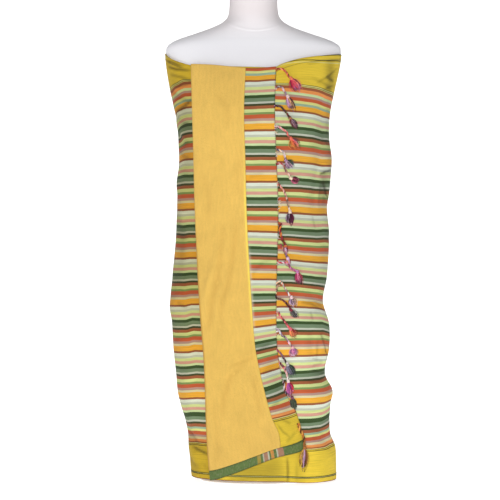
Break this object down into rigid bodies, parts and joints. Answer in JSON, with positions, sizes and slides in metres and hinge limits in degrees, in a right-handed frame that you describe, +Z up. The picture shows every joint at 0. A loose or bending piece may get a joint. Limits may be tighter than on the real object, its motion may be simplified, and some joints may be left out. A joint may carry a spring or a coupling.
{
  "type": "kikoy wrap on dress form",
  "caption": "Striped cotton kikoy wrap with terry lining and knotted fringe, wound round a limbless dress form on a low stand",
  "frame": {"origin": "the middle of the base's flat underside, on the floor", "axes": "+Z up along the pole and the neck, front of the garment towards -Y, +X to the right as seen from the front"},
  "size_m": [0.4056, 0.2437, 1.128],
  "materials": {
    "striped_cotton": "plain-woven cotton, striped along its length, soft and matt",
    "terry_cotton": "short looped terry towelling, ochre yellow",
    "green_facing": "plain-woven green cotton with narrow cross stripes",
    "fringe_yarn": "twisted cotton yarn in mixed colours, knotted and cut",
    "form_jersey": "fine white stretch jersey, smooth",
    "form_stand": "white powder coat"
  },
  "bodies": {
    "root": {"form_torso": "form_jersey", "form_pole": "form_stand", "form_base": "form_stand", "kikoy_outer_wrap": "striped_cotton", "kikoy_underlap": "striped_cotton", "kikoy_turned_back_flap": "striped_cotton", "terry_lining": "terry_cotton", "hem_facing": "green_facing", "tassel_01": "fringe_yarn", "tassel_02": "fringe_yarn", "tassel_03": "fringe_yarn", "tassel_04": "fringe_yarn", "tassel_05": "fringe_yarn", "tassel_06": "fringe_yarn", "tassel_07": "fringe_yarn", "tassel_08": "fringe_yarn", "tassel_09": "fringe_yarn", "tassel_10": "fringe_yarn", "tassel_11": "fringe_yarn", "tassel_12": "fringe_yarn", "tassel_13": "fringe_yarn", "tassel_14": "fringe_yarn", "tassel_15": "fringe_yarn", "tassel_16": "fringe_yarn", "tassel_17": "fringe_yarn", "tassel_18": "fringe_yarn"}
  },
  "joints": []
}
